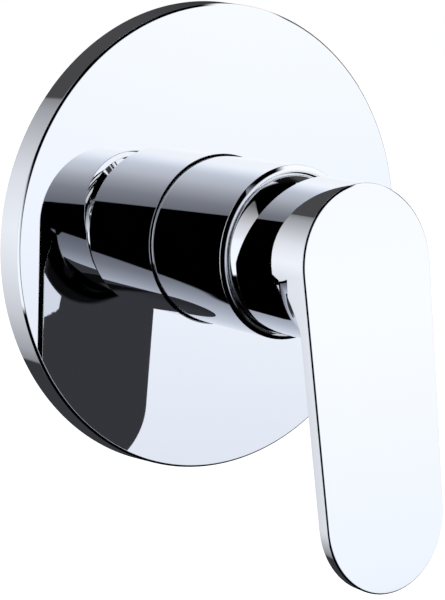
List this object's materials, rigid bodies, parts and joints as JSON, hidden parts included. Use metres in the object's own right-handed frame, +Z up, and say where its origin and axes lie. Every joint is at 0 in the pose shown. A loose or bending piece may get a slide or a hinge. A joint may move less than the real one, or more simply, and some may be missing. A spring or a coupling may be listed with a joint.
{
  "type": "concealed mixer tap",
  "caption": "Single-lever concealed mixer: round cover plate and sleeve in front of the wall, paddle lever on a cartridge, valve body with threaded ports behind.",
  "frame": {"origin": "centre of the four fixing lugs, on the back plane of the valve body", "axes": "+Z up, -Y out of the wall towards the user, +X to the user's right (cold side)"},
  "size_m": [0.1512, 0.1399, 0.1715],
  "materials": {
    "chrome": "polished",
    "cast_brass": "shot-blasted casting",
    "turned_brass": "turned",
    "steel": "bright drawn",
    "housing_plastic": "moulded",
    "rotor_plastic": "moulded",
    "ring_plastic": "moulded",
    "cap_plastic": "moulded",
    "ceramic": "lapped ceramic",
    "rubber": "moulded",
    "fibre": "pressed fibre",
    "foam": "closed-cell foam"
  },
  "bodies": {
    "valve": {"valve_body": "cast_brass", "spare_outlet_plug": "turned_brass", "plug_washer": "fibre", "cover_plate": "chrome", "plate_o_ring": "rubber", "plate_gasket": "foam", "sleeve": "chrome", "sleeve_o_ring": "rubber", "dome_cap": "chrome", "cartridge_nut": "turned_brass", "cartridge_housing": "housing_plastic", "cartridge_base": "housing_plastic", "base_seals": "rubber", "disc_seals": "rubber", "fixed_disc": "ceramic", "limit_ring": "ring_plastic"},
    "rotor": {"rotor": "rotor_plastic", "pivot_pin": "steel"},
    "disc": {"disc_carrier": "rotor_plastic", "moving_disc": "ceramic"},
    "lever": {"spindle": "steel", "lever_handle": "chrome", "grub_screw": "steel", "screw_cap": "cap_plastic"}
  },
  "joints": [
    {"name": "lever_turn", "type": "hinge", "parent": "valve", "child": "rotor", "pos_m": [0, 0, 0], "axis": [0, 1, 0], "range_deg": [-45, 45]},
    {"name": "lever_lift", "type": "hinge", "parent": "rotor", "child": "lever", "pos_m": [0, -0.0811, 0], "axis": [-1, 0, 0], "range_deg": [0, 20]},
    {"name": "disc_slide", "type": "slide", "parent": "rotor", "child": "disc", "axis": [0, 0, -1], "range_m": [0, 0.0046]}
  ],
  "couplings": [
    {"joint": "disc_slide", "follows": "lever_lift", "m_per_rad": 0.0129}
  ]
}
